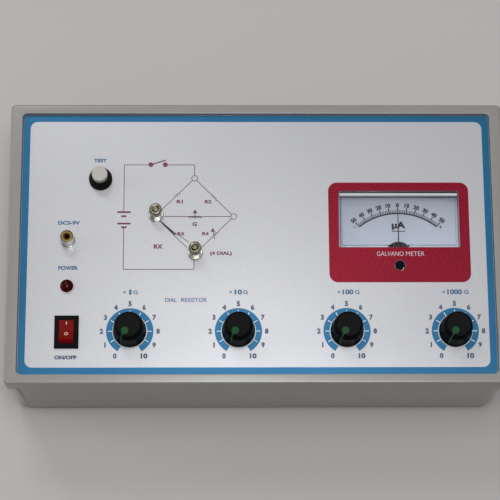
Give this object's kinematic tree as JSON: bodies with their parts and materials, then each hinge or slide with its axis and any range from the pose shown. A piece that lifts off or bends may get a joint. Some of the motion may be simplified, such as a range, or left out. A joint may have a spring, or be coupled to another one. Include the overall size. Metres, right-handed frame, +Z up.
{
  "type": "wheatstone bridge",
  "caption": "Bench Wheatstone bridge: grey moulded case with a sunk silver panel, decade dials, centre-zero meter, push button, rocker switch, supply jack and binding posts.",
  "frame": {"origin": "on the table under the middle of the case", "axes": "+X to the right of the panel, +Y to the back edge, +Z up out of the panel"},
  "size_m": [0.315, 0.183, 0.1033],
  "materials": {
    "case_grey": "fine textured grey",
    "panel_aluminium": "silver film with fine grain, printed blue, maroon and red",
    "foot_rubber": "matt",
    "zinc_steel": "zinc plated",
    "moulded_black": "satin black",
    "clear_plastic": "clear polystyrene",
    "scale_white": "matt white print",
    "magnet_iron": "ground",
    "plated_brass": "nickel plated",
    "nickel_plate": "polished nickel",
    "brass": "turned",
    "coil_copper": "enamelled copper",
    "pointer_black": "matt black",
    "phenolic": "pressed laminate",
    "resistor_green": "moulded",
    "rocker_red": "gloss red",
    "cap_white": "satin off-white",
    "spring_steel": "drawn wire",
    "jack_yellow": "moulded yellow",
    "lamp_nylon": "pale moulded",
    "lamp_red": "deep red, translucent",
    "knob_black": "satin black",
    "marker_green": "green insert",
    "coil_tape": "wrapped tape",
    "board_green": "laminate with parts"
  },
  "bodies": {
    "case": {"lower_case": "case_grey", "bezel_frame": "case_grey", "rubber_feet": "foot_rubber", "case_screws": "zinc_steel", "front_panel": "panel_aluminium", "stud_nuts": "zinc_steel", "meter_case": "moulded_black", "meter_cover": "clear_plastic", "meter_scale_plate": "scale_white", "meter_hub_cover": "moulded_black", "meter_magnet": "magnet_iron", "meter_bridge": "plated_brass", "meter_terminals": "brass", "switch_wafers": "phenolic", "switch_resistors": "resistor_green", "dial_nuts": "plated_brass", "rocker_frame": "moulded_black", "test_button_body": "moulded_black", "test_button_spring": "spring_steel", "test_button_nut": "plated_brass", "dc_jack_shell": "nickel_plate", "dc_jack_insulator": "jack_yellow", "dc_jack_contact": "brass", "dc_jack_nut": "plated_brass", "power_lamp_body": "lamp_nylon", "power_lamp_lens": "lamp_red", "post_studs": "nickel_plate", "post_insulators": "lamp_nylon", "post_nuts": "plated_brass", "mains_inlet_body": "moulded_black", "mains_inlet_pins": "plated_brass", "transformer_core": "magnet_iron", "transformer_winding": "coil_tape", "circuit_board": "board_green", "dial_switch_x1": "zinc_steel", "dial_switch_x10": "zinc_steel", "dial_switch_x100": "zinc_steel", "dial_switch_x1000": "zinc_steel"},
    "dial_x1": {"dial_knob_x1": "knob_black", "dial_marker_x1": "marker_green", "dial_shaft_x1": "brass"},
    "dial_x10": {"dial_knob_x10": "knob_black", "dial_marker_x10": "marker_green", "dial_shaft_x10": "brass"},
    "dial_x100": {"dial_knob_x100": "knob_black", "dial_marker_x100": "marker_green", "dial_shaft_x100": "brass"},
    "dial_x1000": {"dial_knob_x1000": "knob_black", "dial_marker_x1000": "marker_green", "dial_shaft_x1000": "brass"},
    "test_button": {"test_button_cap": "cap_white"},
    "power_rocker": {"rocker_paddle": "rocker_red"},
    "meter_needle": {"meter_pointer": "pointer_black", "meter_coil": "coil_copper"},
    "zero_screw": {"meter_zero_screw": "moulded_black"},
    "zero_arm": {"meter_zero_arm": "plated_brass"},
    "clamp_washer_left": {"post_washer_left": "nickel_plate"},
    "thumb_nut_left": {"post_cap_left": "nickel_plate"},
    "clamp_washer_right": {"post_washer_right": "nickel_plate"},
    "thumb_nut_right": {"post_cap_right": "nickel_plate"}
  },
  "joints": [
    {"name": "dial_x1_turn", "type": "hinge", "parent": "case", "child": "dial_x1", "pos_m": [-0.0797, -0.0573, 0.1], "axis": [0, 0, 1], "range_deg": [-300, 0]},
    {"name": "dial_x10_turn", "type": "hinge", "parent": "case", "child": "dial_x10", "pos_m": [-0.012, -0.0573, 0.1], "axis": [0, 0, 1], "range_deg": [-300, 0]},
    {"name": "dial_x100_turn", "type": "hinge", "parent": "case", "child": "dial_x100", "pos_m": [0.0557, -0.0573, 0.1], "axis": [0, 0, 1], "range_deg": [-300, 0]},
    {"name": "dial_x1000_turn", "type": "hinge", "parent": "case", "child": "dial_x1000", "pos_m": [0.1234, -0.0573, 0.1], "axis": [0, 0, 1], "range_deg": [-300, 0]},
    {"name": "test_button_press", "type": "slide", "parent": "case", "child": "test_button", "axis": [0, 0, -1], "range_m": [0, 0.003], "stiffness_N_per_m": 400, "springref_m": -0.003, "deforming": ["test_button_spring"]},
    {"name": "power_rocker_tip", "type": "hinge", "parent": "case", "child": "power_rocker", "pos_m": [-0.119, -0.0579, 0.0818], "axis": [1, 0, 0], "range_deg": [0, 24]},
    {"name": "needle_swing", "type": "hinge", "parent": "case", "child": "meter_needle", "pos_m": [0.09, -0.0175, 0.0777], "axis": [0, 0, 1], "range_deg": [-44, 44], "stiffness_Nm_per_rad": 0.00002},
    {"name": "zero_screw_turn", "type": "hinge", "parent": "case", "child": "zero_screw", "pos_m": [0.09, -0.0149, 0.0815], "axis": [0, 0, 1], "range_deg": [-30, 30]},
    {"name": "zero_arm_swing", "type": "hinge", "parent": "case", "child": "zero_arm", "pos_m": [0.09, -0.0175, 0.079], "axis": [0, 0, 1], "range_deg": [-8.2, 8.2]},
    {"name": "clamp_washer_left_lift", "type": "slide", "parent": "case", "child": "clamp_washer_left", "axis": [0, 0, 1], "range_m": [0, 0.0035]},
    {"name": "thumb_nut_left_turn", "type": "hinge", "parent": "clamp_washer_left", "child": "thumb_nut_left", "pos_m": [-0.0639, 0.0182, 0.09], "axis": [0, 0, 1], "range_deg": [0, 1800]},
    {"name": "clamp_washer_right_lift", "type": "slide", "parent": "case", "child": "clamp_washer_right", "axis": [0, 0, 1], "range_m": [0, 0.0035]},
    {"name": "thumb_nut_right_turn", "type": "hinge", "parent": "clamp_washer_right", "child": "thumb_nut_right", "pos_m": [-0.0391, -0.0067, 0.09], "axis": [0, 0, 1], "range_deg": [0, 1800]}
  ],
  "couplings": [
    {"joint": "thumb_nut_left_turn", "follows": "clamp_washer_left_lift", "rad_per_m": 8975.9},
    {"joint": "thumb_nut_right_turn", "follows": "clamp_washer_right_lift", "rad_per_m": 8975.9},
    {"joint": "zero_arm_swing", "follows": "zero_screw_turn", "ratio": 0.27}
  ]
}
